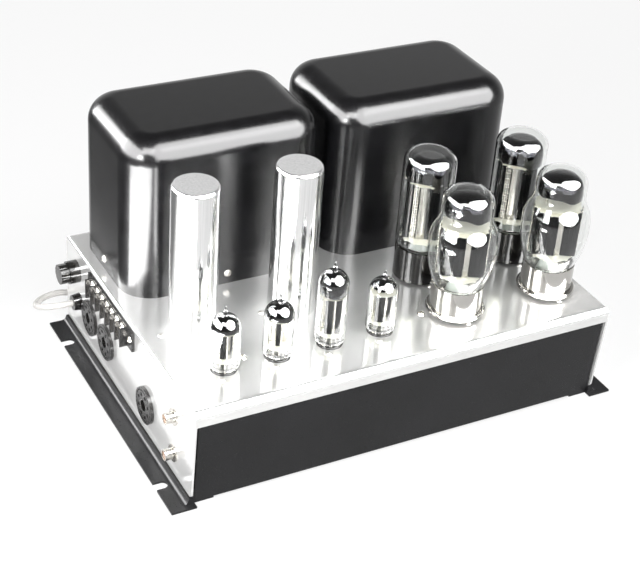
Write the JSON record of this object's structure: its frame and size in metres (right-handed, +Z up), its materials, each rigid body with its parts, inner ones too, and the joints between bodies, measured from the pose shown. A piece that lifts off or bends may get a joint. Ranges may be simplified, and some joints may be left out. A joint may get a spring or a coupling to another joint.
{
  "type": "tube power amplifier",
  "caption": "Audio power amplifier with glass tubes and capacitor cans on a plated chassis, two black transformer covers behind, and its connections on the left end.",
  "frame": {"origin": "middle of the footprint, on the surface that the amplifier stands on", "axes": "+X to the right along the front, +Y to the rear, +Z up"},
  "size_m": [0.3832, 0.331, 0.207],
  "materials": {
    "plated_steel": "polished",
    "black_sheet": "satin",
    "black_lacquer": "gloss",
    "core_steel": "matt",
    "winding_paper": "waxed",
    "can_aluminium": "polished",
    "phenolic": "satin",
    "moulded_black": "gloss",
    "glass": "clear",
    "electrode_metal": "carbonised",
    "sleeve_metal": "polished",
    "cord_rubber": "smooth",
    "tie_paper": "matt",
    "nickel_brass": "bright",
    "small_parts": "lacquered"
  },
  "bodies": {
    "amplifier": {"chassis": "plated_steel", "base_cover": "black_sheet", "mounting_rails": "black_sheet", "base_screws": "plated_steel", "power_transformer_cover": "black_lacquer", "output_transformer_cover": "black_lacquer", "cover_screws": "plated_steel", "power_transformer_core": "core_steel", "power_transformer_winding": "winding_paper", "output_transformer_core": "core_steel", "output_transformer_winding": "winding_paper", "filter_capacitor_1": "can_aluminium", "filter_capacitor_2": "can_aluminium", "capacitor_wafers": "phenolic", "miniature_sockets": "phenolic", "octal_socket_1": "moulded_black", "octal_socket_2": "moulded_black", "octal_socket_3": "moulded_black", "octal_socket_4": "moulded_black", "chassis_rivets": "plated_steel", "fuse_holder": "moulded_black", "cord_bushing": "cord_rubber", "power_cord": "cord_rubber", "cord_coil": "cord_rubber", "cord_tail": "cord_rubber", "cord_tie": "tie_paper", "plug_body": "cord_rubber", "plug_blades": "nickel_brass", "terminal_strip": "moulded_black", "terminal_screws": "nickel_brass", "accessory_socket_1": "moulded_black", "accessory_socket_2": "moulded_black", "accessory_socket_3": "moulded_black", "phono_jacks": "nickel_brass", "jack_insulators": "moulded_black", "tag_board": "phenolic", "board_parts": "small_parts", "board_screws": "plated_steel"},
    "miniature_1": {"miniature_tube_1": "glass", "miniature_electrodes_1": "electrode_metal"},
    "miniature_2": {"miniature_tube_2": "glass", "miniature_electrodes_2": "electrode_metal"},
    "miniature_3": {"miniature_tube_3": "glass", "miniature_electrodes_3": "electrode_metal"},
    "miniature_4": {"miniature_tube_4": "glass", "miniature_electrodes_4": "electrode_metal"},
    "shouldered_1": {"shouldered_tube_1": "glass", "shouldered_base_1": "sleeve_metal", "shouldered_electrodes_1": "electrode_metal"},
    "shouldered_2": {"shouldered_tube_2": "glass", "shouldered_base_2": "sleeve_metal", "shouldered_electrodes_2": "electrode_metal"},
    "straight_1": {"straight_tube_1": "glass", "straight_base_1": "moulded_black", "straight_electrodes_1": "electrode_metal"},
    "straight_2": {"straight_tube_2": "glass", "straight_base_2": "moulded_black", "straight_electrodes_2": "electrode_metal"},
    "fuse_carrier": {"fuse": "glass"},
    "fuse_knob": {"fuse_cap": "moulded_black"}
  },
  "joints": [
    {"name": "miniature_1_lift", "type": "slide", "parent": "amplifier", "child": "miniature_1", "axis": [0, 0, 1], "range_m": [0, 0.06]},
    {"name": "miniature_2_lift", "type": "slide", "parent": "amplifier", "child": "miniature_2", "axis": [0, 0, 1], "range_m": [0, 0.06]},
    {"name": "miniature_3_lift", "type": "slide", "parent": "amplifier", "child": "miniature_3", "axis": [0, 0, 1], "range_m": [0, 0.06]},
    {"name": "miniature_4_lift", "type": "slide", "parent": "amplifier", "child": "miniature_4", "axis": [0, 0, 1], "range_m": [0, 0.06]},
    {"name": "shouldered_1_lift", "type": "slide", "parent": "amplifier", "child": "shouldered_1", "axis": [0, 0, 1], "range_m": [0, 0.06]},
    {"name": "shouldered_2_lift", "type": "slide", "parent": "amplifier", "child": "shouldered_2", "axis": [0, 0, 1], "range_m": [0, 0.06]},
    {"name": "straight_1_lift", "type": "slide", "parent": "amplifier", "child": "straight_1", "axis": [0, 0, 1], "range_m": [0, 0.06]},
    {"name": "straight_2_lift", "type": "slide", "parent": "amplifier", "child": "straight_2", "axis": [0, 0, 1], "range_m": [0, 0.06]},
    {"name": "fuse_pull", "type": "slide", "parent": "amplifier", "child": "fuse_carrier", "axis": [-1, 0, 0], "range_m": [0, 0.045]},
    {"name": "fuse_cap_turn", "type": "hinge", "parent": "fuse_carrier", "child": "fuse_knob", "pos_m": [-0.17, 0.1, 0.061], "axis": [1, 0, 0], "range_deg": [0, 90]}
  ]
}
